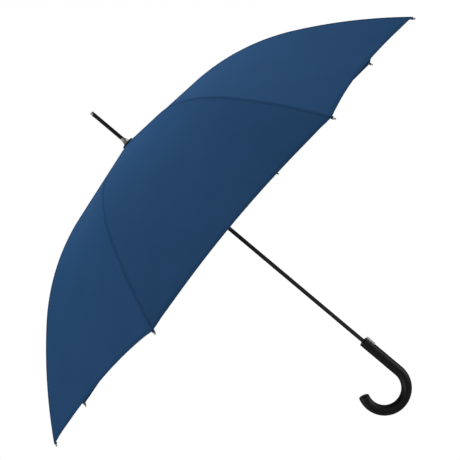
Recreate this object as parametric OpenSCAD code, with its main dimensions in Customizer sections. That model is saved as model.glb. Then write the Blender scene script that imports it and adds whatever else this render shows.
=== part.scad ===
// Stick umbrella that opens by itself: eight ribs, a J-shaped crook and a long ferrule.
// Z runs along the shaft, ferrule up. The origin is in the middle of the straight grip.
// The crook bends towards -X and the push button faces +X.
// The umbrella is drawn open, which is where the fold joint is at zero.

/* [Canopy] */
// Length of a rib from its hinge at the crown to the end of the rod
rib_length = 603; // [590:1:610]
// Slope of the straight inner part of a rib, below level
rib_slope = 9.9; // [8:0.1:12]
// How far the straight part of a rib reaches
straight_length = 177; // [160:1:190]
// Bend of the shoulder, between the straight part and the outer stretch
shoulder_bend = 28.3; // [24:0.1:32]
// Where the shoulder ends, along the rib
shoulder_end = 388; // [370:1:400]
// Bend of the outer stretch
outer_bend = 12.4; // [8:0.1:16]
// Thickness of the canopy solids
cloth = 0.9; // [0.6:0.1:1.2]
// How far the hem dips towards the crown between two ribs
hem_dip = 22; // [8:1:26]
// Inward sag of a gore, as a share of its half width
gore_sag = 0.05; // [0:0.01:0.1]

/* [Shaft and ferrule] */
// Height of the rib hinges above the middle of the grip
crown_z = 658; // [650:1:670]
// Outside diameter of the shaft tube
shaft_d = 8.2; // [7.6:0.1:8.2]
// Wall of the shaft tube
shaft_wall = 0.5; // [0.4:0.05:0.7]
// Height of the ferrule's end above the rib hinges
ferrule_reach = 98; // [85:1:110]
// Diameter of the ferrule
ferrule_d = 7.8; // [7:0.1:8]
// Length of the silver cap on the ferrule
cap_length = 5; // [3:0.5:8]
// Diameter of the rosette on top of the canopy
rosette_d = 26.4; // [22:0.2:30]
// Length of the flared collar between rosette and ferrule
collar_length = 13; // [10:0.5:16]
// Diameter of the flared collar where it meets the rosette
collar_d = 14.6; // [12:0.2:18]

/* [Linkage] */
// Radius of the wire rings that the ribs and stretchers hinge on
hinge_r = 9; // [8.8:0.1:9.4]
// Where the stretcher is pinned, along the rib
pivot_s = 262; // [255:1:262]
// How far the stretcher's rivet hangs below the rib
lug_drop = 8; // [7:0.5:9]
// Where the flexible outer rib is joined to the stiff inner rib
flex_s = 271; // [270:1:275]
// Angle of the linkage's arms from the shaft when the umbrella is closed
closed_angle = 2.5; // [2:0.1:4]
// Width of the pressed rib channel
channel_w = 3.2; // [3:0.1:3.4]
// Diameter of the outer rib's rod
rod_d = 2.6; // [2.2:0.1:2.8]

/* [Handle] */
// Height of the handle's top end
handle_top = 56; // [54:1:58]
// Diameter of the grip
grip_d = 21.2; // [20:0.1:22]
// Radius of the crook, to the middle of the grip
crook_r = 44; // [40:1:50]
// Height at which the crook starts to bend
crook_z = -35; // [-40:1:-30]
// Angle that the crook turns through
crook_angle = 206; // [190:1:215]
// How far the button stands out of the grip
button_proud = 2; // [1.5:0.1:2.5]
// How far the button travels
button_travel = 2; // [1.8:0.1:2]

/* [Hidden] */
$fn = 48;
ribs = 8;
pitch = 360 / ribs;                  // angle from one rib to the next
first_rib = pitch / 2;               // so that gore 6 faces -Y

// fits and small sizes
eps = 0.05;                          // extra depth of a cut, so that no skin is left
slide_gap = 0.05;                    // radial running clearance on the shaft
wire_r = 0.6;                        // wire rings
eye_r = 1.4;                         // eye at a hinged end
eye_hole_r = 0.8;
eye_t = 1.6;                         // thickness of the flattened ends
eye_reach = 6;                       // a flattened end is this long
slot_w = 2;                          // slots that the eyes turn in
channel_h = 3;                       // height of the pressed channels
sheet = 0.6;                         // sheet that the channels are pressed from
rivet_r = 0.9;
lug_t = 1.5;
fork_gap = 1.7;                      // gap of the stretcher's fork round the lug
fork_r = 2.1;
flex_pin_r = 0.5;
cloth_gap = 2.9;                     // middle of the cloth above the middle of the rib

shaft_r = shaft_d / 2;
bore_r = shaft_r - shaft_wall;
shaft_bottom = crook_z + 6;
grip_r = grip_d / 2;

// ---- the line of a rib, in its own plane: [distance from the shaft, height] ----
shoulder_r = (shoulder_end - straight_length) / (shoulder_bend * PI / 180);
outer_r = (rib_length - shoulder_end) / (outer_bend * PI / 180);
crown_hinge = [hinge_r, crown_z];

function outward(slope) = [sin(slope), cos(slope)];
function along(slope) = [cos(slope), -sin(slope)];
function rib_slope_at(s) =
  s < straight_length ? rib_slope
  : s < shoulder_end ? rib_slope + (s - straight_length) / shoulder_r * 180 / PI
  : rib_slope + shoulder_bend + (s - shoulder_end) / outer_r * 180 / PI;

shoulder_centre = crown_hinge + straight_length * along(rib_slope)
                  - shoulder_r * outward(rib_slope);
shoulder_last = shoulder_centre + shoulder_r * outward(rib_slope + shoulder_bend);
outer_centre = shoulder_last - outer_r * outward(rib_slope + shoulder_bend);

function rib_point(s) =
  s < straight_length ? crown_hinge + s * along(rib_slope)
  : s < shoulder_end ? shoulder_centre + shoulder_r * outward(rib_slope_at(s))
  : outer_centre + outer_r * outward(rib_slope_at(s));
function beside_rib(s, lift) = rib_point(s) + lift * outward(rib_slope_at(s));

// ---- the linkage: rib and stretcher are two equal arms ----
rivet = beside_rib(pivot_s, -lug_drop);
arm = norm(rivet - crown_hinge);
runner_z = 2 * rivet.y - crown_z;                   // runner's ring when open
runner_closed_z = crown_z - 2 * arm * cos(closed_angle);
stretcher_slope = atan2(rivet.y - runner_z, rivet.x - hinge_r);

// ---- the runner and its latch ----
tail_length = runner_closed_z - handle_top + 14;    // the tail ends 14 mm inside the handle
tail_r = shaft_r + 1.2;
head_r = hinge_r + 2.5;
groove_r = shaft_r + 0.55;
groove_h = 2.4;
yoke_z = handle_top - 11;                           // middle of the latch yoke
yoke_t = 1.6;
drive_drop = 30;                                    // drive pin below the runner's ring
plunger_h = 10;
drive_r = 0.8;
housing_r = 8;
housing_h = 28;
button_l = 21;
button_w = 8;
button_x = 8.4;                                     // flat that the button stands on
spring_z = handle_top - 18;                         // height of the button's spring

module at_rib(i) rotate([0, 0, first_rib + pitch * (i - 1)]) children();
module in_plane() rotate([90, 0, 0]) children();    // XY drawing to the rib's XZ plane
module cross_hole(at, r, length)
  translate([at.x, 0, at.y]) rotate([90, 0, 0]) cylinder(r = r, h = length, center = true);
module wire_ring(z) translate([0, 0, z]) rotate_extrude() translate([hinge_r, 0]) circle(wire_r);

// a flat strip that follows the rib, from s_from to s_to, between two offsets
module rib_strip(s_from, s_to, low, high, width, steps) {
  places = [for (k = [0 : steps]) s_from + (s_to - s_from) * k / steps];
  in_plane() linear_extrude(width, center = true) polygon(concat(
    [for (s = places) beside_rib(s, high)],
    [for (k = [steps : -1 : 0]) beside_rib(places[k], low)]
  ));
}

// ---- shaft, crown and ferrule ----
module shaft_tube() color([0.1, 0.1, 0.11])
  difference() {
    top = crown_z + 16;
    translate([0, 0, shaft_bottom]) cylinder(r = shaft_r, h = top - shaft_bottom);
    translate([0, 0, shaft_bottom - eps]) cylinder(r = bore_r, h = top - shaft_bottom + 2 * eps);
    // slot that the drive pin runs in, on the side away from the crook's plane
    slot_low = runner_closed_z - drive_drop - 2;
    translate([-drive_r - 0.1, 0, slot_low])
      cube([2 * drive_r + 0.2, shaft_d, runner_z - drive_drop + 2 - slot_low]);
    translate([0, 0, crown_z - 10]) rotate([90, 0, 0]) cylinder(r = 1, h = shaft_d * 2, center = true);
  }

module slotted_head(z_low, z_high, ring_z) {
  difference() {
    translate([0, 0, z_low]) cylinder(r = head_r, h = z_high - z_low);
    translate([0, 0, ring_z]) rotate_extrude() translate([hinge_r, 0]) circle(wire_r + 0.1);
    for (i = [1 : ribs]) at_rib(i)
      translate([hinge_r - 2, -slot_w / 2, z_low - 1]) cube([10, slot_w, z_high - z_low + 2]);
  }
}

module crown() color([0.12, 0.12, 0.13])
  difference() {
    union() {
      slotted_head(crown_z - 3.2, crown_z + 1.2, crown_z);
      translate([0, 0, crown_z - 16]) cylinder(r = 6.3, h = 13);
    }
    translate([0, 0, crown_z - 17]) cylinder(r = shaft_r, h = 20);
    translate([0, 0, crown_z - 10]) rotate([90, 0, 0]) cylinder(r = 1, h = 20, center = true);
  }

module crown_wire() color([0.6, 0.6, 0.62]) wire_ring(crown_z);

module crown_pin() color([0.6, 0.6, 0.62])
  translate([0, 0, crown_z - 10]) rotate([90, 0, 0]) cylinder(r = 1, h = 12.8, center = true);

module rosette() color([0.05, 0.06, 0.09])
  translate([0, 0, crown_z + 3.6]) rotate_extrude() difference() {
    union() {
      square([rosette_d / 2 - 0.9, 2.4]);
      translate([rosette_d / 2 - 0.9, 0.9]) circle(0.9, $fn = 24);
    }
    translate([-1, -1]) square([shaft_r + 1, 5]);
  }

module ferrule_collar() color([0.55, 0.56, 0.58])
  translate([0, 0, crown_z + 6]) rotate_extrude() {
    bell = collar_d / 2 - ferrule_d / 2;
    polygon(concat(
      [[shaft_r, collar_length], [shaft_r, 0], [collar_d / 2, 0], [collar_d / 2, 1]],
      [for (k = [1 : 6]) [ferrule_d / 2 + 0.3 + (bell - 0.3) * pow(1 - k / 6, 1.8),
                          1 + (collar_length - 1) * k / 6]]
    ));
  }

module ferrule() color([0.1, 0.1, 0.1])
  difference() {
    bottom = crown_z + 6 + collar_length;
    translate([0, 0, bottom])
      cylinder(d = ferrule_d, h = crown_z + ferrule_reach - cap_length - bottom);
    // blind bore of the end, which the silver cap's stem is pressed into
    translate([0, 0, crown_z + ferrule_reach - cap_length - 8]) cylinder(r = 2, h = 9);
  }

module ferrule_cap() color([0.6, 0.6, 0.6])
  translate([0, 0, crown_z + ferrule_reach - cap_length]) {
    rotate_extrude() polygon([
      [0, -7.5], [2, -7.5], [2, 0], [ferrule_d / 2, 0], [ferrule_d / 2, cap_length - 0.6],
      [ferrule_d / 2 - 0.6, cap_length], [0, cap_length]
    ]);
  }

// ---- ribs, tips and stretchers, each drawn in the plane of its rib ----
module rib_inner(i) color([0.16, 0.16, 0.17]) at_rib(i)
  difference() {
    union() {
      // flattened end with its eye, then the pressed channel
      rib_strip(0, eye_reach, -eye_r, eye_r, eye_t, 1);
      cross_hole(crown_hinge, eye_r, eye_t);
      difference() {
        rib_strip(eye_reach - 1, flex_s - 5, -channel_h / 2, channel_h / 2, channel_w, 14);
        rib_strip(eye_reach + 3, flex_s - 4, -channel_h, channel_h / 2 - sheet,
                  channel_w - 2 * sheet, 14);
      }
      // lug that hangs below the channel
      in_plane() linear_extrude(lug_t, center = true) polygon([
        beside_rib(pivot_s - 7, 0), beside_rib(pivot_s + 3, 0),
        rivet + fork_r * along(rib_slope_at(pivot_s)),
        rivet - fork_r * along(rib_slope_at(pivot_s))
      ]);
      cross_hole(rivet, fork_r, lug_t);
      // block in the channel's end, with two cheeks and the flex pin
      rib_strip(flex_s - 10, flex_s - 4, -channel_h / 2, channel_h / 2, channel_w, 1);
      for (side = [-1, 1]) translate([0, side * (channel_w - 0.7) / 2, 0]) {
        rib_strip(flex_s - 5, flex_s, -1.5, 1.5, 0.7, 1);
        cross_hole(rib_point(flex_s), 1.5, 0.7);
      }
      cross_hole(rib_point(flex_s), flex_pin_r, channel_w);
    }
    cross_hole(crown_hinge, eye_hole_r, 5);
    cross_hole(rivet, rivet_r + slide_gap, 5);
  }

// a thin rod swept along the rib, as one closed solid
module swept_rod(s_from, s_to, r, rings, sides) {
  function ring_point(k, j) =
    let (
      s = s_from + (s_to - s_from) * k / rings,
      turn = 360 * (j + 0.5) / sides,
      p = beside_rib(s, r * cos(turn))
    )
    [p.x, r * sin(turn), p.y];
  function at(k, j) = k * sides + j % sides;
  polyhedron(
    points = [for (k = [0 : rings], j = [0 : sides - 1]) ring_point(k, j)],
    faces = concat(
      [[for (j = [sides - 1 : -1 : 0]) at(0, j)], [for (j = [0 : sides - 1]) at(rings, j)]],
      [for (k = [0 : rings - 1], j = [0 : sides - 1]) each [
        [at(k, j), at(k + 1, j + 1), at(k + 1, j)],
        [at(k, j), at(k, j + 1), at(k + 1, j + 1)]
      ]]
    )
  );
}

module rib_outer(i) color([0.1, 0.1, 0.1]) at_rib(i)
  difference() {
    union() {
      swept_rod(flex_s + 7, rib_length, rod_d / 2, 18, 10);
      // knuckle between the cheeks, and the crimped socket of the rod
      rib_strip(flex_s, flex_s + 4, -1.4, 1.4, fork_gap, 1);
      cross_hole(rib_point(flex_s), 1.4, fork_gap);
      rib_strip(flex_s + 3, flex_s + 13, -1.6, 1.6, channel_w, 2);
    }
    cross_hole(rib_point(flex_s), flex_pin_r + slide_gap, 5);
  }

module rib_tip(i) color([0.7, 0.71, 0.73]) at_rib(i)
  translate([rib_point(rib_length).x, 0, rib_point(rib_length).y])
    rotate([0, 90 + rib_slope_at(rib_length), 0]) rotate_extrude() {
      difference() {
        union() {
          translate([0, -9]) square([1.7, 11]);
          translate([0, 2]) intersection() {
            circle(1.7);
            square(4);
          }
        }
        translate([-1, -10]) square([1 + rod_d / 2 + slide_gap, 10]);
      }
    }

module stretcher(i) color([0.16, 0.16, 0.17]) at_rib(i)
  translate([hinge_r, 0, runner_z]) rotate([0, -stretcher_slope, 0])
    difference() {
      fork_from = arm - 9;
      union() {
        translate([0, -eye_t / 2, -eye_r]) cube([eye_reach + 1, eye_t, 2 * eye_r]);
        cross_hole([0, 0], eye_r, eye_t);
        difference() {
          translate([eye_reach, -channel_w / 2, -channel_h / 2])
            cube([fork_from - eye_reach + 2, channel_w, channel_h]);
          translate([eye_reach + 2, sheet - channel_w / 2, sheet - channel_h / 2])
            cube([fork_from - eye_reach - 4, channel_w - 2 * sheet, channel_h]);
        }
        // fork round the rib's lug, with its rivet
        for (side = [-1, 1]) translate([0, side * (fork_gap + 0.75) / 2, 0]) {
          translate([fork_from + 1, -0.375, -channel_h / 2]) cube([8, 0.75, channel_h]);
          cross_hole([arm, 0], fork_r, 0.75);
        }
        cross_hole([arm, 0], rivet_r, fork_gap + 1.5);
        for (side = [-1, 1]) translate([0, side * (fork_gap / 2 + 0.95), 0])
          cross_hole([arm, 0], 1.5, 0.4);
      }
      cross_hole([0, 0], eye_hole_r, 5);
    }

// ---- runner, its drive and the opening spring ----
module runner() color([0.1, 0.1, 0.11])
  difference() {
    union() {
      slotted_head(runner_z - 3.2, runner_z + 3, runner_z);
      translate([0, 0, runner_z - 9]) cylinder(r1 = tail_r, r2 = 6.6, h = 6);
      translate([0, 0, runner_z - tail_length + 1]) cylinder(r = tail_r, h = tail_length - 3);
      translate([0, 0, runner_z - tail_length])
        cylinder(r1 = tail_r - 0.6, r2 = tail_r, h = 1 + eps);
    }
    translate([0, 0, runner_z - tail_length - 1]) cylinder(r = shaft_r + slide_gap, h = tail_length + 10);
    // groove that the latch yoke drops into
    groove_z = runner_z + yoke_z - runner_closed_z - groove_h / 2;
    translate([0, 0, groove_z]) difference() {
      cylinder(r = tail_r + 1, h = groove_h);
      translate([0, 0, -1]) cylinder(r = groove_r, h = groove_h + 2);
    }
    translate([0, 0, runner_z - drive_drop]) rotate([-90, 0, 0])
      cylinder(r = drive_r, h = 20);
  }

module runner_wire() color([0.6, 0.6, 0.62]) wire_ring(runner_z);

module spring_plunger() color([0.6, 0.6, 0.62]) {
  translate([0, 0, runner_z - drive_drop - plunger_h / 2])
    cylinder(r = bore_r - slide_gap, h = plunger_h);
  translate([0, 0, runner_z - drive_drop]) rotate([-90, 0, 0])
    cylinder(r = drive_r, h = tail_r - 0.1);
}

module opening_spring() color([0.5, 0.5, 0.52])
  difference() {
    low = shaft_bottom + 2;
    high = runner_z - drive_drop - plunger_h / 2;
    translate([0, 0, low]) cylinder(r = bore_r - 0.3, h = high - low);
    translate([0, 0, low - eps]) cylinder(r = bore_r - 1.1, h = high - low + 2 * eps);
  }

// ---- handle ----
module grip_flat() {
  // flat on the +X side of the grip's top, where the button stands
  translate([button_x, -15, handle_top - button_l - 1]) cube([10, 30, button_l + 2]);
}

module handle_grip() color([0.09, 0.09, 0.09])
  difference() {
    union() {
      translate([0, 0, crook_z]) cylinder(r = grip_r, h = handle_top - crook_z - 1);
      translate([0, 0, handle_top - 1 - eps]) cylinder(r1 = grip_r, r2 = grip_r - 1, h = 1 + eps);
      translate([-crook_r, 0, crook_z]) mirror([0, 0, 1]) in_plane()
        rotate_extrude(angle = crook_angle) translate([crook_r, 0]) circle(grip_r);
    }
    grip_flat();
    translate([0, 0, shaft_bottom]) cylinder(r = shaft_r + slide_gap, h = 100);
    translate([0, 0, handle_top - housing_h]) cylinder(r = housing_r + slide_gap, h = housing_h + 1);
    translate([0, -button_w / 2 - 0.2, handle_top - button_l])
      cube([15, button_w + 0.4, button_l + 1]);
  }

module handle_end_cap() color([0.08, 0.08, 0.08])
  translate([-crook_r, 0, crook_z]) rotate([0, crook_angle, 0]) translate([crook_r, 0, 0])
    mirror([0, 0, 1]) rotate_extrude() {
      polygon([[0, 0], [grip_r, 0], [grip_r, 1], [grip_r - 0.6, 2], [grip_r - 2.2, 3],
               [grip_r - 5, 3.8], [0, 4.2]]);
    }

module latch_housing() color([0.13, 0.13, 0.13])
  difference() {
    low = handle_top - housing_h;
    translate([0, 0, low]) cylinder(r = housing_r, h = housing_h - 0.4);
    translate([0, 0, low - 1]) cylinder(r = shaft_r + slide_gap, h = housing_h + 2);
    translate([0, 0, handle_top - 15]) cylinder(r = tail_r + 0.2, h = 20);
    // slot that the yoke slides in, and the window of the button
    translate([-10, -6.8, yoke_z - yoke_t / 2 - 0.3]) cube([20, 13.6, yoke_t + 0.6]);
    translate([shaft_r + 0.6, -button_w / 2 - 0.2, handle_top - button_l])
      cube([10, button_w + 0.4, button_l + 1]);
  }

module push_button() color([0.78, 0.78, 0.79]) {
  low = handle_top - button_l + 0.3;
  long = button_l - 0.6;
  out = grip_r + button_proud;
  difference() {
    translate([button_x, -button_w / 2, low]) cube([out - button_x, button_w, long]);
    // bevels round the pressed face
    for (side = [-1, 1])
      translate([out, side * button_w / 2, low - 1]) rotate([0, 0, 45])
        translate([-0.7, -0.7, 0]) cube([1.4, 1.4, long + 2]);
    for (end = [low, low + long])
      translate([out, 10, end]) rotate([90, 45, 0]) translate([-0.7, -0.7, 0]) cube([1.4, 1.4, 20]);
  }
}

module latch_yoke() color([0.6, 0.6, 0.62])
  translate([0, 0, yoke_z - yoke_t / 2]) difference() {
    union() {
      // plate that stays inside the housing, released and pressed
      intersection() {
        translate([-housing_r, -6.5, 0]) cube([2 * housing_r, 13, yoke_t]);
        cylinder(r = housing_r - 0.2, h = yoke_t);
        translate([button_travel, 0, 0]) cylinder(r = housing_r - 0.2, h = yoke_t);
      }
      // tongue that the button pushes on
      translate([5, 0.4 - button_w / 2, 0]) cube([button_x - 5, button_w - 0.8, yoke_t]);
    }
    // long opening: its -X edge is the lip that drops into the runner's groove
    hold_r = tail_r + 0.25;
    near = hold_r - groove_r - 0.15;
    play = button_travel - 0.8;
    for (x = [near, near + play]) translate([x, 0, -1]) cylinder(r = hold_r, h = yoke_t + 2);
    translate([near, -hold_r, -1]) cube([play, 2 * hold_r, yoke_t + 2]);
  }

module button_spring() color([0.6, 0.6, 0.62])
  for (k = [0 : 4])
    translate([shaft_r + 1 + k * 0.74, 0, spring_z]) rotate([0, 90, 0])
      rotate_extrude() translate([1.5, 0]) circle(0.24, $fn = 16);

// ---- canopy ----
rows = 20;
columns = 6;
corner_s = rib_length - 3;           // the cloth is tied here
seam_gap = 0.4;

function hem_s(v) = corner_s - hem_dip * (1 - v * v);
function gore_point(s, v, lift) =
  let (
    line = beside_rib(s, cloth_gap),
    slope = rib_slope_at(s),
    half = line.x * sin(pitch / 2) - seam_gap,
    push = lift - gore_sag * half * (1 - v * v)
  )
  [line.x * cos(pitch / 2) + push * sin(slope), half * v, line.y + push * cos(slope)];
function gore_row(k, j, lift) =
  let (v = 2 * j / columns - 1) gore_point(hem_s(v) * k / rows, v, lift);

// closed sheet between an upper and a lower grid of points
module sheet_solid(upper, lower) {
  n = len(upper) - 1;
  m = len(upper[0]) - 1;
  w = m + 1;
  size = (n + 1) * w;
  function at(k, j, side) = side * size + k * w + j;
  polyhedron(
    points = concat([for (row = upper) each row], [for (row = lower) each row]),
    faces = concat(
      [for (k = [0 : n - 1], j = [0 : m - 1]) each [
        [at(k, j, 0), at(k, j + 1, 0), at(k + 1, j + 1, 0)],
        [at(k, j, 0), at(k + 1, j + 1, 0), at(k + 1, j, 0)],
        [at(k, j, 1), at(k + 1, j + 1, 1), at(k, j + 1, 1)],
        [at(k, j, 1), at(k + 1, j, 1), at(k + 1, j + 1, 1)]
      ]],
      [for (k = [0 : n - 1]) each [
        [at(k, 0, 0), at(k + 1, 0, 0), at(k + 1, 0, 1), at(k, 0, 1)],
        [at(k, m, 0), at(k, m, 1), at(k + 1, m, 1), at(k + 1, m, 0)]
      ]],
      [for (j = [0 : m - 1]) each [
        [at(0, j, 0), at(0, j, 1), at(0, j + 1, 1), at(0, j + 1, 0)],
        [at(n, j, 0), at(n, j + 1, 0), at(n, j + 1, 1), at(n, j, 1)]
      ]]
    )
  );
}

module canopy_gore(i) color([0.08, 0.2, 0.38])
  rotate([0, 0, pitch * i]) sheet_solid(
    [for (k = [0 : rows]) [for (j = [0 : columns]) gore_row(k, j, cloth / 2)]],
    [for (k = [0 : rows]) [for (j = [0 : columns]) gore_row(k, j, -cloth / 2)]]
  );

// closing strap, laid on the middle of the gore that faces +Y
strap_gore = 2;
strap_from = 400;
strap_to = 560;
strap_half = 9;
strap_lift = cloth / 2 + 1.5;
strap_t = 1;
snap_s = 546;

function strap_point(s, side, lift) = let (p = gore_point(s, 0, lift)) [p.x, side * strap_half, p.z];

module closure_strap() color([0.07, 0.18, 0.35])
  rotate([0, 0, pitch * strap_gore]) sheet_solid(
    [for (k = [0 : 6]) [for (side = [-1, 1])
      strap_point(strap_from + (strap_to - strap_from) * k / 6, side, strap_lift + strap_t / 2)]],
    [for (k = [0 : 6]) [for (side = [-1, 1])
      strap_point(strap_from + (strap_to - strap_from) * k / 6, side, strap_lift - strap_t / 2)]]
  );

module strap_snap() color([0.7, 0.71, 0.73])
  rotate([0, 0, pitch * strap_gore]) {
    base = gore_point(snap_s, 0, strap_lift + strap_t / 2 + 0.2);
    translate(base) rotate([0, rib_slope_at(snap_s), 0]) rotate_extrude()
      polygon([[0, 0], [5.5, 0], [5.5, 0.8], [4.6, 1.5], [2.5, 1.8], [0, 1.9]]);
  }

shaft_tube();
crown();
crown_wire();
crown_pin();
rosette();
ferrule_collar();
ferrule();
ferrule_cap();
runner();
runner_wire();
spring_plunger();
opening_spring();
handle_grip();
handle_end_cap();
latch_housing();
push_button();
latch_yoke();
button_spring();
closure_strap();
strap_snap();
for (i = [1 : ribs]) {
  rib_inner(i);
  rib_outer(i);
  rib_tip(i);
  stretcher(i);
  canopy_gore(i);
}
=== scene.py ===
"""Looks of the stick umbrella: sewn canopy, threads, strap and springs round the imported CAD."""
import math

import bpy
import numpy as np
from mathutils import Matrix, Vector


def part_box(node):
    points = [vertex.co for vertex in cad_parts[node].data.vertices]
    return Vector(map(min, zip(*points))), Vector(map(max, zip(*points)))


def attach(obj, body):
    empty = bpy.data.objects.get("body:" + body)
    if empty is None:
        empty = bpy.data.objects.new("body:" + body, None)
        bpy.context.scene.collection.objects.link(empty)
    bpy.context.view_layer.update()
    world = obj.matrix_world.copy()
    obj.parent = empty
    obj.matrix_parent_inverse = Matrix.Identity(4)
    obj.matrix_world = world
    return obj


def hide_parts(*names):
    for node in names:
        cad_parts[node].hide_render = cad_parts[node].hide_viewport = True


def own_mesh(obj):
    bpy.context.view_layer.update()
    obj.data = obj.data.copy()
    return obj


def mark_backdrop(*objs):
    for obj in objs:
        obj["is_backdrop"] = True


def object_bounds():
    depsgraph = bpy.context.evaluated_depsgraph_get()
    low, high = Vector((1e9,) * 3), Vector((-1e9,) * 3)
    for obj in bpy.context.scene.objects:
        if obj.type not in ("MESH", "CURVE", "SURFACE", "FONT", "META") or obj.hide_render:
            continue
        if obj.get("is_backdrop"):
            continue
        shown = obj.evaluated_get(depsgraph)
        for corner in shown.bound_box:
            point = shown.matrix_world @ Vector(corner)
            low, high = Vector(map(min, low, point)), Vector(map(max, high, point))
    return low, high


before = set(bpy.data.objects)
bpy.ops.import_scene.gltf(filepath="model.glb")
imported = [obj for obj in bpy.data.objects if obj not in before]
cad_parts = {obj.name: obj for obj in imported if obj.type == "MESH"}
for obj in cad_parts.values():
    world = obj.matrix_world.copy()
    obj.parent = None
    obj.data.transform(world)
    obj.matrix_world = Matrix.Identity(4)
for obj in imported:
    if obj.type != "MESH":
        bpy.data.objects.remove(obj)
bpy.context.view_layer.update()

MM = 0.001
RIBS = 8
PITCH = math.radians(45)
HALF_PITCH = PITCH / 2
PARTS = ("inner", "outer")      # the two stretches of a rib, and of the cloth on it

# ---- the line of a rib in its own plane, in millimetres: distance from the shaft, height ----
HINGE = np.array([9.0, 658.0])
SLOPE = 9.9                     # degrees below level at the hinge
STRAIGHT, SHOULDER_END, RIB_LENGTH = 177.0, 388.0, 603.0
SHOULDER_BEND, OUTER_BEND = 28.3, 12.4
FLEX_S = 271.0                  # joint of inner and outer rib
CLOTH_GAP = 2.9                 # cloth above the middle of the rib
CORNER_S = RIB_LENGTH - 3       # corner of the cloth, at the rib's tip
HEM_DIP = 22.0                  # how far the hem draws in between two corners
SAG = 0.05                      # sag of the cloth between two ribs, as a share of its half width


def outward(slope):
    return np.array([math.sin(math.radians(slope)), math.cos(math.radians(slope))])


def along(slope):
    return np.array([math.cos(math.radians(slope)), -math.sin(math.radians(slope))])


SHOULDER_R = (SHOULDER_END - STRAIGHT) / math.radians(SHOULDER_BEND)
OUTER_R = (RIB_LENGTH - SHOULDER_END) / math.radians(OUTER_BEND)
SHOULDER_C = HINGE + STRAIGHT * along(SLOPE) - SHOULDER_R * outward(SLOPE)
OUTER_C = SHOULDER_C + (SHOULDER_R - OUTER_R) * outward(SLOPE + SHOULDER_BEND)


def slope_at(s):
    if s < STRAIGHT:
        return SLOPE
    if s < SHOULDER_END:
        return SLOPE + math.degrees((s - STRAIGHT) / SHOULDER_R)
    return SLOPE + SHOULDER_BEND + math.degrees((s - SHOULDER_END) / OUTER_R)


def rib_point(s, lift=0.0):
    a = slope_at(s)
    if s < STRAIGHT:
        p = HINGE + s * along(SLOPE)
    elif s < SHOULDER_END:
        p = SHOULDER_C + SHOULDER_R * outward(a)
    else:
        p = OUTER_C + OUTER_R * outward(a)
    return p + lift * outward(a)


def half_width(s, lift=CLOTH_GAP):
    """Half of a gore's width at s along its ribs."""
    return rib_point(s, lift)[0] * math.sin(HALF_PITCH)


def hem_s(v):
    return CORNER_S - HEM_DIP * (1 - v * v)


def rib_azimuth(rib):
    return PITCH * rib - HALF_PITCH


def gore_beside(rib, side):
    """Number of the gore on one side of a rib: side 1 is counterclockwise from above, and side -1
    is clockwise."""
    return rib if side == 1 else (rib - 2) % RIBS + 1


def turned(points, azimuth):
    """points turned about the shaft, and in metres."""
    c, s = math.cos(azimuth), math.sin(azimuth)
    p = np.asarray(points, float)
    x, y, z = p[..., 0], p[..., 1], p[..., 2]
    return np.stack([x * c - y * s, x * s + y * c, z], -1) * MM


def in_rib_plane(rib, s, side, lift):
    """A point beside a rib, in metres."""
    p = rib_point(s, lift)
    return turned([p[0], side, p[1]], rib_azimuth(rib))


def ripple(s, v, half, gore):
    """Small tension folds of the cloth, in millimetres: puckers by the seams, folds from the tips
    and soft waves over the whole gore. Each gore has its own."""
    seam = (1 - abs(v)) * half
    side = 1 if v > 0 else -1
    by_seam = math.exp(-seam / 13) * (1 - math.exp(-seam / 3))
    pucker = 0.16 * by_seam * math.sin(2 * math.pi * s / 21 + 1.7 * gore + 2.3 * math.sin(s / 47))
    near_tip = max(0.0, (s - 430) / 170) ** 2
    bearing = math.atan2(seam, max(1.0, CORNER_S + 12 - s))
    off_seam = math.exp(-seam / 90) * min(1.0, seam / 12)
    fold = 0.55 * near_tip * math.sin(9 * bearing + gore) * off_seam
    wave = 0.5 * math.sin(s / 61 + gore * 2.1) * math.sin(2.2 * v + side * 0.4 + gore)
    return pucker + fold + wave * min(1.0, seam / 40) * min(1.0, s / 150)


def gore_point(s, v, lift, gore):
    """A point of a gore, in the gore's own frame: v runs from -1 to 1 between its two seams."""
    line, a = rib_point(s, CLOTH_GAP), math.radians(slope_at(s))
    half = half_width(s)
    push = lift - SAG * half * (1 - v * v) + ripple(s, v, half, gore)
    return [line[0] * math.cos(HALF_PITCH) + push * math.sin(a), half * v,
            line[1] + push * math.cos(a)]


# ---- meshes ----
def link(name, points, faces, material, uvs=None):
    mesh = bpy.data.meshes.new(name)
    mesh.from_pydata([tuple(p) for p in points], [], faces)
    mesh.update()
    mesh.polygons.foreach_set("use_smooth", [True] * len(mesh.polygons))
    for layer, per_point in (uvs or {}).items():
        uv = mesh.uv_layers.new(name=layer)
        index = np.zeros(len(mesh.loops), int)
        mesh.loops.foreach_get("vertex_index", index)
        uv.data.foreach_set("uv", np.asarray(per_point, np.float32)[index].ravel())
    obj = bpy.data.objects.new(name, mesh)
    bpy.context.scene.collection.objects.link(obj)
    mesh.materials.append(material)
    return obj


def grid_faces(rows, columns, start=0, flip=False, wrap=False):
    faces = []
    last = columns if wrap else columns - 1
    for k in range(rows - 1):
        for j in range(last):
            a, b = start + k * columns + j, start + k * columns + (j + 1) % columns
            c, d = b + columns, a + columns
            faces.append((a, d, c, b) if flip else (a, b, c, d))
    return faces


def capped_faces(rows, around):
    """Faces of a closed strip: rows of points round it, and a cap at each end."""
    caps = [tuple(reversed(range(around))), tuple((rows - 1) * around + j for j in range(around))]
    return grid_faces(rows, around, wrap=True) + caps


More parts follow.
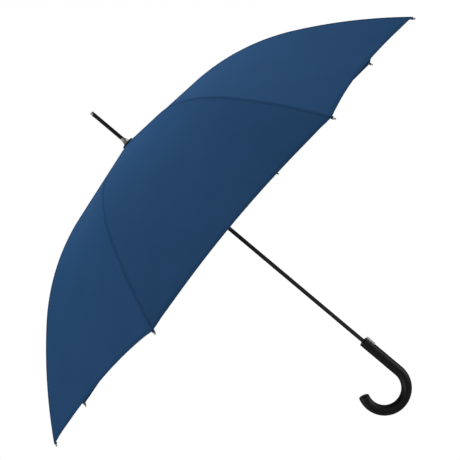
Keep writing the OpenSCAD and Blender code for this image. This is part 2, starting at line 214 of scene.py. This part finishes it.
def tube(path, radius, sides):
    """Points and faces of a round tube along path, in the path's own unit; its frame is carried
    without twist. The path must not start straight along Z."""
    path = np.asarray(path, float)
    t = np.vstack([path[1:], path[-1:]]) - np.vstack([path[:1], path[:-1]])
    t /= np.linalg.norm(t, axis=1)[:, None]
    u = np.cross(t[0], [0.0, 0.0, 1.0])
    turn = np.linspace(0, 2 * math.pi, sides, endpoint=False)
    points = []
    for place, ahead in zip(path, t):
        u = u - (u @ ahead) * ahead
        u /= np.linalg.norm(u)
        w = np.cross(ahead, u)
        points += [place + radius * (math.cos(x) * u + math.sin(x) * w) for x in turn]
    return points, capped_faces(len(path), sides)


def several(parts):
    """One list of points and faces from several."""
    points, faces = [], []
    for p, f in parts:
        base = len(points)
        points += list(p)
        faces += [tuple(i + base for i in face) for face in f]
    return points, faces


# ---- materials ----
class Nodes:
    """A short way to write a material's node tree."""

    def __init__(self, name):
        self.material = bpy.data.materials.new(name)
        self.material.use_nodes = True
        self.tree = self.material.node_tree
        self.shader = self.tree.nodes["Principled BSDF"]

    def add(self, kind, inputs=None, **settings):
        node = self.tree.nodes.new(kind)
        for key, value in settings.items():
            setattr(node, key, value)
        for key, value in (inputs or {}).items():
            self.put(node.inputs[key], value)
        return node

    def put(self, socket, value):
        if isinstance(value, bpy.types.NodeSocket):
            self.tree.links.new(value, socket)
        else:
            socket.default_value = value

    def math(self, operation, *values):
        return self.add("ShaderNodeMath", dict(enumerate(values)), operation=operation).outputs[0]

    def times(self, a, b):
        return self.math("MULTIPLY", a, b)

    def plus(self, a, b):
        return self.math("ADD", a, b)

    def gap(self, a, b):
        """How far a is from b, on either side."""
        return self.math("ABSOLUTE", self.math("SUBTRACT", a, b))

    def pair(self, layer):
        """The vector of a UV map, and its two values."""
        vector = self.add("ShaderNodeUVMap", uv_map=layer).outputs[0]
        split = self.add("ShaderNodeSeparateXYZ", {"Vector": vector})
        return vector, split.outputs[0], split.outputs[1]

    def stretched(self, vector, scale):
        return self.add("ShaderNodeMapping", {"Vector": vector, "Scale": scale}).outputs[0]

    def noise(self, vector, scale, detail=3.0, rough=0.5):
        return self.add("ShaderNodeTexNoise", {"Vector": vector, "Scale": scale, "Detail": detail,
                                               "Roughness": rough}).outputs["Fac"]

    def ramp(self, value, low, high, out_low=0.0, out_high=1.0):
        return self.add("ShaderNodeMapRange", {"Value": value, "From Min": low, "From Max": high,
                                               "To Min": out_low, "To Max": out_high},
                        interpolation_type="SMOOTHSTEP").outputs["Result"]

    def shaded(self, colour, tone):
        """A colour made lighter or darker by tone."""
        return self.add("ShaderNodeVectorMath", {0: colour[:3], "Scale": tone},
                        operation="SCALE").outputs[0]

    def mix(self, factor, a, b):
        return self.add("ShaderNodeMix", {0: factor, 6: a, 7: b}, data_type="RGBA").outputs[2]

    def bump(self, height, distance, strength):
        return self.add("ShaderNodeBump", {"Height": height, "Distance": distance,
                                           "Strength": strength}).outputs["Normal"]

    def set(self, **values):
        for key, value in values.items():
            self.put(self.shader.inputs[key.replace("_", " ")], value)
        return self.material


def rgba(r, g, b):
    return (r, g, b, 1.0)


def scaled(colour, k):
    return rgba(*(c * k for c in colour[:3]))


NAVY = rgba(0.0245, 0.0765, 0.1780)

NOISE_SPAN = (0.3, 0.7)                 # where most of a noise's values lie

# the cloth's details, in metres: widths and distances on the cloth, then heights for the bump
YARN = 0.00045                          # from one thread of the weave to the next
STITCH = 0.0030                         # from one stitch to the next
STITCH_EDGE = (0.00018, 0.00042)        # off a row's middle: stitch full to here, and gone here
GULLY_WIDE = 0.0013                     # half the width of the dent that a row of stitches makes, and of the painted shade in it
SEAM_WIDE = 0.0042                      # painted shade beside the seam, up to here
HEM_EDGE = (0.0062, 0.0074)             # inner edge of the hem, where the cloth turns single
YARN_HIGH, SLUB_HIGH, STITCH_HIGH = 0.00004, 0.00002, 0.00022
GULLY_DEEP, WRINKLE_HIGH = 0.0008, 0.0006


def cloth_material(name, colour, stitch_rows, seam_painted_shade):
    """Plain-woven polyester. Map "weave" runs along the threads in metres, and map "edge" holds the
    distances from the seam and from the hem. stitch_rows are (which edge, distance from it, which
    way it runs) of each row of stitches."""
    m = Nodes(name)
    weave, across, down = m.pair("weave")
    _, seam, hem = m.pair("edge")
    warp, weft = (m.math("ABSOLUTE", m.math("SINE", m.times(way, math.pi / YARN)))
                  for way in (across, down))
    slub = m.noise(m.stretched(weave, (900.0, 60.0, 1.0)), 1.0, 2.0)
    cloudy = m.noise(weave, 14.0, 3.0, 0.55)
    tone = m.plus(m.ramp(cloudy, *NOISE_SPAN, 0.965, 1.02), m.times(slub, 0.05))
    # painted shade: the cloth is darkened towards the seam
    tone = m.times(tone, m.ramp(seam, 0.0, SEAM_WIDE, seam_painted_shade, 1.0))
    tone = m.times(tone, m.ramp(hem, *HEM_EDGE, 0.90, 1.0))
    height = m.plus(m.times(m.times(warp, weft), YARN_HIGH), m.times(slub, SLUB_HIGH))
    for which, at, run in stitch_rows:
        off_row = m.gap({"seam": seam, "hem": hem}[which], at)
        # the offset keeps the count of stitches above zero
        count = m.times(m.plus({"across": across, "down": down}[run], 10.0), 1 / STITCH)
        dash = m.ramp(m.gap(m.math("FRACT", count), 0.5), 0.34, 0.42, 1.0, 0.0)
        stitch = m.times(m.ramp(off_row, *STITCH_EDGE, 1.0, 0.0), dash)
        # the dent along a row of stitches: a bump, and painted shade that darkens the colour in it
        gully_and_painted_shade = m.ramp(off_row, 0.0, GULLY_WIDE, 0.84, 1.0)
        tone = m.plus(m.times(tone, gully_and_painted_shade), m.times(stitch, 0.30))
        height = m.plus(height, m.times(stitch, STITCH_HIGH))
        height = m.plus(height, m.times(m.math("SUBTRACT", gully_and_painted_shade, 1.0), GULLY_DEEP))
    wrinkle = m.noise(m.stretched(weave, (26.0, 9.0, 1.0)), 1.0, 2.0)
    height = m.plus(height, m.times(wrinkle, WRINKLE_HIGH))
    return m.set(Base_Color=m.shaded(colour, tone),
                 Roughness=m.ramp(cloudy, *NOISE_SPAN, 0.62, 0.70), Specular_IOR_Level=0.004,
                 Sheen_Weight=0.05, Sheen_Roughness=0.45, Sheen_Tint=rgba(0.02, 0.30, 1.0),
                 Normal=m.bump(height, 1.0, 0.8))


def hard_material(name, colour, rough, grain, metallic=0.0, grain_scale=900.0, wear=0.0, worn=None,
                  stretch=(1.0, 1.0, 1.0), specular=0.5):
    """Metal, paint or moulded plastic: even colour with slight clouding, a fine grain (its depth in
    metres), and wear on raised edges, where the colour turns to worn."""
    m = Nodes(name)
    place = m.add("ShaderNodeTexCoord").outputs["Object"]
    fine = m.noise(m.stretched(place, stretch), grain_scale, 4.0, 0.6)
    broad = m.noise(place, 38.0, 3.0)
    base = m.shaded(colour, m.ramp(broad, *NOISE_SPAN, 0.94, 1.05))
    if wear:
        point = m.add("ShaderNodeNewGeometry").outputs["Pointiness"]
        rub = m.times(m.ramp(point, 0.52, 0.60), m.ramp(fine, 0.40, 0.62, 0.0, wear))
        base = m.mix(rub, base, worn)
    roughness = m.plus(m.ramp(fine, *NOISE_SPAN, -0.05, 0.05),
                       m.ramp(broad, *NOISE_SPAN, rough - 0.04, rough + 0.04))
    return m.set(Base_Color=base, Roughness=roughness, Metallic=metallic,
                 Specular_IOR_Level=specular, Normal=m.bump(fine, grain, 0.7))


CLOTH = cloth_material("canopy_cloth", NAVY, [("hem", 0.0058, "across")], 0.86)
# the seam strip is the canopy cloth painted darker: painted shade along the seam line
SHADED_SEAM_CLOTH = cloth_material("seam_cloth_painted_shade", scaled(NAVY, 0.94), [("seam", 0.0013, "down")], 1.0)
# the strap is darkened along its edges: painted shade
STRAP_CLOTH = cloth_material("strap_cloth", scaled(NAVY, 0.95),
                             [("seam", 0.0016, "down"), ("hem", 0.003, "across")], 0.85)
THREAD = hard_material("navy_thread", rgba(0.02, 0.06, 0.15), 0.75, 0.0001, grain_scale=2500,
                       specular=0.2)
SHAFT = hard_material("shaft_paint", rgba(0.0160, 0.0160, 0.0165), 0.48, 0.00002, grain_scale=1500,
                      wear=0.25, worn=rgba(0.08, 0.08, 0.085), specular=0.20)
RIB_STEEL = hard_material("rib_steel", rgba(0.028, 0.028, 0.030), 0.42, 0.00002, metallic=0.35,
                          wear=0.4, worn=rgba(0.22, 0.22, 0.23))
ROD = hard_material("rod_black", rgba(0.014, 0.014, 0.015), 0.45, 0.00002, stretch=(1.0, 1.0, 0.2))
PLASTIC = hard_material("black_plastic", rgba(0.012, 0.012, 0.0125), 0.45, 0.00005,
                        grain_scale=1200, wear=0.2, worn=rgba(0.04, 0.04, 0.042))
RUBBER = hard_material("grip_rubber", rgba(0.0050, 0.0050, 0.0052), 0.44, 0.00016,
                       grain_scale=1500, wear=0.3, worn=rgba(0.018, 0.018, 0.019), specular=0.24)
FERRULE = hard_material("ferrule_plastic", rgba(0.0100, 0.0098, 0.0095), 0.50, 0.00004,
                        wear=0.3, worn=rgba(0.05, 0.05, 0.048), specular=0.12)
ROSETTE = hard_material("rosette_black", rgba(0.008, 0.012, 0.022), 0.6, 0.00012, grain_scale=1400)
COLLAR = hard_material("ferrule_metal", rgba(0.33, 0.32, 0.30), 0.36, 0.00002, metallic=1.0,
                       stretch=(0.15, 0.15, 3.0))
TIP = hard_material("tip_metal", rgba(0.50, 0.49, 0.47), 0.30, 0.00002, metallic=1.0)
SILVER = hard_material("button_silver", rgba(0.88, 0.88, 0.88), 0.36, 0.00002, metallic=0.35,
                       grain_scale=1800, stretch=(1.0, 1.0, 0.1))
SPRING = hard_material("spring_steel", rgba(0.42, 0.42, 0.44), 0.30, 0.00001, metallic=1.0)

FINISHES = {"rib_inner": RIB_STEEL, "rib_outer": ROD, "rib_tip": TIP, "stretcher": RIB_STEEL,
            "shaft_tube": SHAFT, "crown": PLASTIC, "crown_wire": SPRING, "crown_pin": SPRING,
            "rosette": ROSETTE, "ferrule_collar": COLLAR, "ferrule": FERRULE,
            "ferrule_cap": COLLAR, "runner": PLASTIC, "runner_wire": SPRING,
            "spring_plunger": SPRING, "handle_grip": RUBBER, "handle_end_cap": RUBBER,
            "latch_housing": PLASTIC, "push_button": SILVER, "latch_yoke": SPRING}

for node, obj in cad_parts.items():
    kind = node.rstrip("0123456789").rstrip("_")    # one finish for all eight of a kind
    if kind in FINISHES:
        obj.data.materials.clear()
        obj.data.materials.append(FINISHES[kind])

# ---- the cloth's two stretches along a rib ----
# For each of a half gore's two stretches: where it starts and where it ends along the rib (mm).
REACH = {"inner": (0.0, FLEX_S), "outer": (FLEX_S, CORNER_S)}


def fold_cloth(obj):
    """obj lies on one side of a rib, on its inner or outer stretch, and gets its own copy of its
    mesh.
    """
    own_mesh(obj)


def body_of(rib, part):
    return f"{'rib' if part == 'inner' else 'rod'}_{rib}"


# ---- canopy: each gore is two half gores, and each half gore an inner and an outer stretch ----
COLUMNS = 19
ROWS = {"inner": 46, "outer": 56}
HEM_ROLL, HEM_ARC = 0.45, (35, 80, 125, 165)    # rolled edge: radius, and degrees of its rows
HEM_BACK, HEM_UNDER = (2.0, 5.0, 8.0), 0.85     # cloth turned under: rows back from the edge, depth
LAP, LAP_STEP, LAP_ROWS, LAP_UNDER = 18, 6, 5, 0.1      # outer stretch reaching under the inner one
SEAM_ROWS = 70


def half_gore(rib, side, part):
    gore = gore_beside(rib, side)
    start, end = REACH[part]
    points, weave, edge = [], [], []

    def row(s_of, lift=0.0):
        for j in range(COLUMNS):
            v = -side * (1 - j / (COLUMNS - 1))
            s, half = s_of(v), half_width(s_of(v))
            points.append(turned(gore_point(s, v, lift, gore), PITCH * gore))
            weave.append((half * v * MM, s * MM))
            edge.append(((1 - abs(v)) * half * MM, (hem_s(v) - s) * MM))

    for k in range(ROWS[part]):
        reach = k / (ROWS[part] - 1)
        row(lambda v: start + ((end if part == "inner" else hem_s(v)) - start) * reach)
    if part == "outer":
        for a in np.radians(HEM_ARC):
            row(lambda v: hem_s(v) + HEM_ROLL * math.sin(a), -HEM_ROLL * (1 - math.cos(a)))
        for back in HEM_BACK:
            row(lambda v: hem_s(v) - back, -HEM_UNDER)
    flip = side == -1
    faces = grid_faces(len(points) // COLUMNS, COLUMNS, flip=flip)
    if part == "outer":
        # the inner stretch covers this lap when the cloth is folded
        faces += grid_faces(LAP_ROWS, COLUMNS, len(points), flip=flip)
        for k in range(LAP_ROWS):
            row(lambda v: FLEX_S - LAP + LAP_STEP * k, -LAP_UNDER)
    obj = link(f"cloth_{rib}_{part}_{'a' if side == 1 else 'b'}", points, faces, CLOTH,
               uvs={"weave": weave, "edge": edge})
    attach(obj, body_of(rib, part))
    fold_cloth(obj)
    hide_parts(f"canopy_gore_{gore}")
    return obj


def seam_strip(rib, part):
    """Felled seam over a rib: the lapped edges of two gores, sewn flat, and bent over the ridge."""
    start, end = REACH[part]
    start, end = (start + 1, end) if part == "inner" else (start - 0.5, end + 1.5)
    # distance from the ridge and lift off the cloth: the felled face above, the allowance below
    above = [(3.4, 0.02), (3.1, 0.34), (2.4, 0.48), (1.2, 0.52)]
    allowance = [(6.0, -0.55), (6.2, -0.42), (6.0, -0.30), (3.4, -0.28)]
    profile = above + [(0, 0.62)] + [(-d, lift) for d, lift in reversed(above)]
    profile += [(-d, lift) for d, lift in reversed(allowance)] + [(0, -0.60)] + allowance
    points, weave, edge = [], [], []
    for k in range(SEAM_ROWS):
        s = start + (end - start) * k / (SEAM_ROWS - 1)
        half = half_width(s)
        # narrower where the gores run together at the crown, and towards the tip
        narrow = min(1.0, half / 9) * min(1.0, 0.55 + (CORNER_S - s) / 40)
        for d, lift in profile:
            d = d * narrow
            lift = lift + 0.03 * math.sin(s / 2.1 + d)      # the stitches pull it up and down
            side = 1 if d >= 0 else -1
            gore = gore_beside(rib, side)
            p = gore_point(s, -side * (1 - abs(d) / half), lift, gore)
            points.append(turned(p, PITCH * gore))
            weave.append((d * MM, s * MM))
            edge.append((abs(abs(d) - 0.9) * MM, 0.05))     # far from any hem
    obj = link(f"seam_{rib}_{part}", points, capped_faces(SEAM_ROWS, len(profile)), SHADED_SEAM_CLOTH,
               uvs={"weave": weave, "edge": edge})
    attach(obj, body_of(rib, part))
    return obj


def loop_round(rib, s, width, depth, lift, wraps, pitch, radius):
    """Thread wound round a rib: an oval helix in the plane across the rib."""
    path = []
    steps = 16
    for k in range(wraps * steps + 1):
        a = 2 * math.pi * k / steps
        along_rib = s + pitch * (k / steps - wraps / 2)
        up = lift + depth * math.cos(a)
        path.append(in_rib_plane(rib, along_rib, width * math.sin(a), up) / MM)
    return tube(path, radius, 6)


def thread_piece(name, rib, part, loops):
    points, faces = several(loops)
    obj = link(name, np.array(points) * MM, faces, THREAD)
    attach(obj, body_of(rib, part))
    return obj


# where the cloth is tied to a rib, and the half width and half depth of the thread's loops there
TIES = {"inner": ((95, 205), 1.95, 2.35), "outer": ((345, 430, 520), 1.55, 2.1)}


def threads(rib):
    """Thread ties the cloth to the inner rib twice and to the outer one three times, and binds its
    corner to the metal tip."""
    made = []
    for part, (places, width, depth) in TIES.items():
        loops = [loop_round(rib, s, width, depth, 0.55, 4, 0.42, 0.17) for s in places]
        made.append(thread_piece(f"tie_threads_{rib}_{part}", rib, part, loops))
    corner = loop_round(rib, CORNER_S + 0.6, 2.05, 2.25, 0.35, 6, 0.40, 0.20)
    made.append(thread_piece(f"tip_thread_{rib}", rib, "outer", [corner]))
    return made


for rib in range(1, RIBS + 1):
    seams = {part: seam_strip(rib, part) for part in PARTS}
    ties = threads(rib)
    for side in (1, -1):
        for part in PARTS:
            obj = half_gore(rib, side, part)

# ---- closing strap with its snap, on the middle of the gore that faces +Y ----
STRAP_GORE, STRAP_RIB = 2, 2
STRAP_FROM, STRAP_TO, STRAP_HALF, SNAP_S = 400.0, 560.0, 9.0, 546.0
STRAP_ROWS = 62
SNAP_LIFT, SNAP_AROUND = 2.25, 40


def on_strap(s, side, lift):
    p = gore_point(s, 0.0, lift, STRAP_GORE)
    return turned([p[0], side, p[2]], PITCH * STRAP_GORE)


def closing_strap():
    # distance from the middle as a share of the half width, and height: rolled edges, stitched down
    face = [(1.0, 0.0), (0.985, 0.30), (0.93, 0.42), (0.86, 0.40), (0.80, 0.34), (0.4, 0.38)]
    profile = face + [(0, 0.40)] + [(-d, lift) for d, lift in reversed(face)]
    profile += [(-0.93, -0.36), (0, -0.38), (0.93, -0.36)]
    points, weave, edge = [], [], []
    for k in range(STRAP_ROWS):
        s = STRAP_FROM + (STRAP_TO - STRAP_FROM) * k / (STRAP_ROWS - 1)
        # the free end is rounded, the sewn end lies flat on the cloth
        tip = max(0.0, (s - (STRAP_TO - STRAP_HALF)) / STRAP_HALF)
        width = STRAP_HALF * math.sqrt(max(0.02, 1 - tip ** 2.4))
        rise = 1.0 + 0.85 * min(1.0, (s - STRAP_FROM) / 30) + 0.18 * math.sin(s / 17)
        ends = min(s - STRAP_FROM, STRAP_TO - s)
        for d, lift in profile:
            points.append(on_strap(s, d * width, rise + lift))
            weave.append((d * width * MM, s * MM))
            edge.append(((1 - abs(d)) * STRAP_HALF * MM, max(ends, 0.0) * MM))
    obj = link("closing_strap", points, capped_faces(STRAP_ROWS, len(profile)), STRAP_CLOTH,
               uvs={"weave": weave, "edge": edge})
    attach(obj, body_of(STRAP_RIB, "outer"))
    fold_cloth(obj)
    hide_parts("closure_strap")
    return obj


def strap_snap():
    """Pressed snap: a domed cap with a rolled rim and a dimple."""
    outline = [(0.0, 1.15), (1.0, 1.10), (1.9, 0.95), (2.5, 1.20), (3.3, 1.62), (4.2, 1.66),
               (4.9, 1.35), (5.35, 0.85), (5.5, 0.35), (5.35, 0.0), (0.0, -0.2)]
    base = on_strap(SNAP_S, 0.0, SNAP_LIFT)
    a = math.radians(slope_at(SNAP_S))
    points = []
    for r, h in outline:
        for k in range(SNAP_AROUND):
            turn = 2 * math.pi * k / SNAP_AROUND
            x, y = r * math.cos(turn), r * math.sin(turn)
            local = [x * math.cos(a) + h * math.sin(a), y, -x * math.sin(a) + h * math.cos(a)]
            points.append(base + turned(local, PITCH * STRAP_GORE))
    faces = grid_faces(len(outline), SNAP_AROUND, wrap=True, flip=True)
    obj = link("snap_cap", points, faces, TIP)
    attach(obj, body_of(STRAP_RIB, "outer"))
    fold_cloth(obj)
    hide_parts("strap_snap")
    return obj


snap = strap_snap()
strap = closing_strap()


def helix(name, axis_from, axis_to, radius, wire, turns, sides, steps):
    """A coil spring with its end turns closed up; wire is the wire's radius."""
    a, b = np.array(axis_from, float), np.array(axis_to, float)
    length = np.linalg.norm(b - a)
    t = (b - a) / length
    u = np.cross(t, [0.0, 1.0, 0.0])
    u /= np.linalg.norm(u)
    w = np.cross(t, u)
    path = []
    for k in range(turns * steps + 1):
        f = k / (turns * steps)
        eased = f - 0.9 / turns * math.sin(2 * math.pi * f) / (2 * math.pi)
        angle = 2 * math.pi * k / steps
        path.append(a + t * (wire + (length - 2 * wire) * eased)
                    + radius * (math.cos(angle) * u + math.sin(angle) * w))
    points, faces = tube(path, wire, sides)
    return link(name, np.array(points) * MM, faces, SPRING)


low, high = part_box("opening_spring")
coil = helix("opening_coil", (0, 0, low.z / MM), (0, 0, high.z / MM), radius=2.85, wire=0.42,
             turns=122, sides=6, steps=14)
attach(coil, "root")
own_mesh(coil)
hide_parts("opening_spring")

low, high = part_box("button_spring")
middle = (low + high) / 2 / MM
coil = helix("button_coil", (low.x / MM, middle.y, middle.z), (high.x / MM, middle.y, middle.z),
             radius=1.45, wire=0.22, turns=5, sides=8, steps=20)
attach(coil, "root")
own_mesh(coil)
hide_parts("button_spring")

# ---- studio ----
scene = bpy.context.scene
scene.view_settings.view_transform = "Standard"
FLOOR_GAP = 0.0005
FLOOR_HALF, FLOOR_CELLS = 14.0, 40
DOME_RADIUS, DOME_AROUND, DOME_UP = 18, 48, 24


def sheet_of_light(name, place, target, size, power):
    data = bpy.data.lights.new(name, "AREA")
    data.shape, data.size, data.energy = "DISK", size, power
    obj = bpy.data.objects.new(name, data)
    obj.location = place
    obj.rotation_mode = "QUATERNION"
    obj.rotation_quaternion = (Vector(target) - Vector(place)).to_track_quat("-Z", "Y")
    scene.collection.objects.link(obj)


def white_glow(name, diffuse):
    return Nodes(name).set(Base_Color=rgba(diffuse, diffuse, diffuse), Roughness=0.9,
                           Specular_IOR_Level=0.0, Emission_Color=rgba(1, 1, 1),
                           Emission_Strength=1.0)


def studio():
    world = bpy.data.worlds.new("studio")
    world.use_nodes = True
    back = world.node_tree.nodes["Background"]
    back.inputs["Color"].default_value = rgba(1.0, 1.0, 1.0)
    back.inputs["Strength"].default_value = 0.28
    scene.world = world
    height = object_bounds()[0].z - FLOOR_GAP
    line = [FLOOR_HALF * (2 * i / FLOOR_CELLS - 1) for i in range(FLOOR_CELLS + 1)]
    floor = link("floor", [(x, y, height) for x in line for y in line],
                 grid_faces(FLOOR_CELLS + 1, FLOOR_CELLS + 1, flip=True),
                 white_glow("pale_floor", 0.05))
    points = []
    for k in range(DOME_UP + 1):
        e = -math.pi / 2 + math.pi * k / DOME_UP
        for j in range(DOME_AROUND):
            a = 2 * math.pi * j / DOME_AROUND
            points.append((DOME_RADIUS * math.cos(e) * math.cos(a),
                           DOME_RADIUS * math.cos(e) * math.sin(a), DOME_RADIUS * math.sin(e)))
    dome = link("backdrop", points, grid_faces(DOME_UP + 1, DOME_AROUND, wrap=True),
                white_glow("white_backdrop", 0.0))
    for obj in (floor, dome):
        obj.visible_diffuse = obj.visible_glossy = obj.visible_transmission = False
        obj.visible_shadow = obj.visible_volume_scatter = False
    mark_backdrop(floor, dome)
    centre = (0.0, 0.0, 0.55)
    sheet_of_light("key_above", (1.35, 0.75, 3.15), centre, 2.6, 84)
    sheet_of_light("fill_left", (-2.6, -1.6, 1.2), centre, 2.2, 33)
    sheet_of_light("fill_front", (0.8, -3.0, 0.4), centre, 2.4, 3)
    sheet_of_light("fill_back", (-0.6, 3.0, 0.8), centre, 2.4, 12)
    # low enough to light the handle and shaft without reaching the canopy's outer side
    sheet_of_light("handle_side", (0.95, -0.42, -0.38), (0.0, 0.0, 0.2), 0.5, 3.6)


def camera():
    """Nearly level view along the hem of the front gore, rolled so that the shaft lies aslant."""
    azimuth, elevation, roll = (math.radians(x) for x in (-2.096, 0.584, -49.974))
    distance, right_by, up_by = 1.8156, -0.199146, 0.169006
    aim = Vector((0.0, 0.0, 0.6599))
    back = Vector((math.sin(azimuth) * math.cos(elevation),
                   -math.cos(azimuth) * math.cos(elevation), math.sin(elevation)))
    right = Vector((math.cos(azimuth), math.sin(azimuth), 0.0))
    up = back.cross(right)
    across = math.cos(roll) * right + math.sin(roll) * up
    upward = -math.sin(roll) * right + math.cos(roll) * up
    data = bpy.data.cameras.new("camera")
    data.sensor_width, data.lens = 36.0, 72.22
    obj = bpy.data.objects.new("camera", data)
    place = aim + back * distance - across * right_by - upward * up_by
    turn = Matrix((across, upward, back)).transposed().to_4x4()
    obj.matrix_world = Matrix.Translation(place) @ turn
    scene.collection.objects.link(obj)
    scene.camera = obj


camera()
studio()
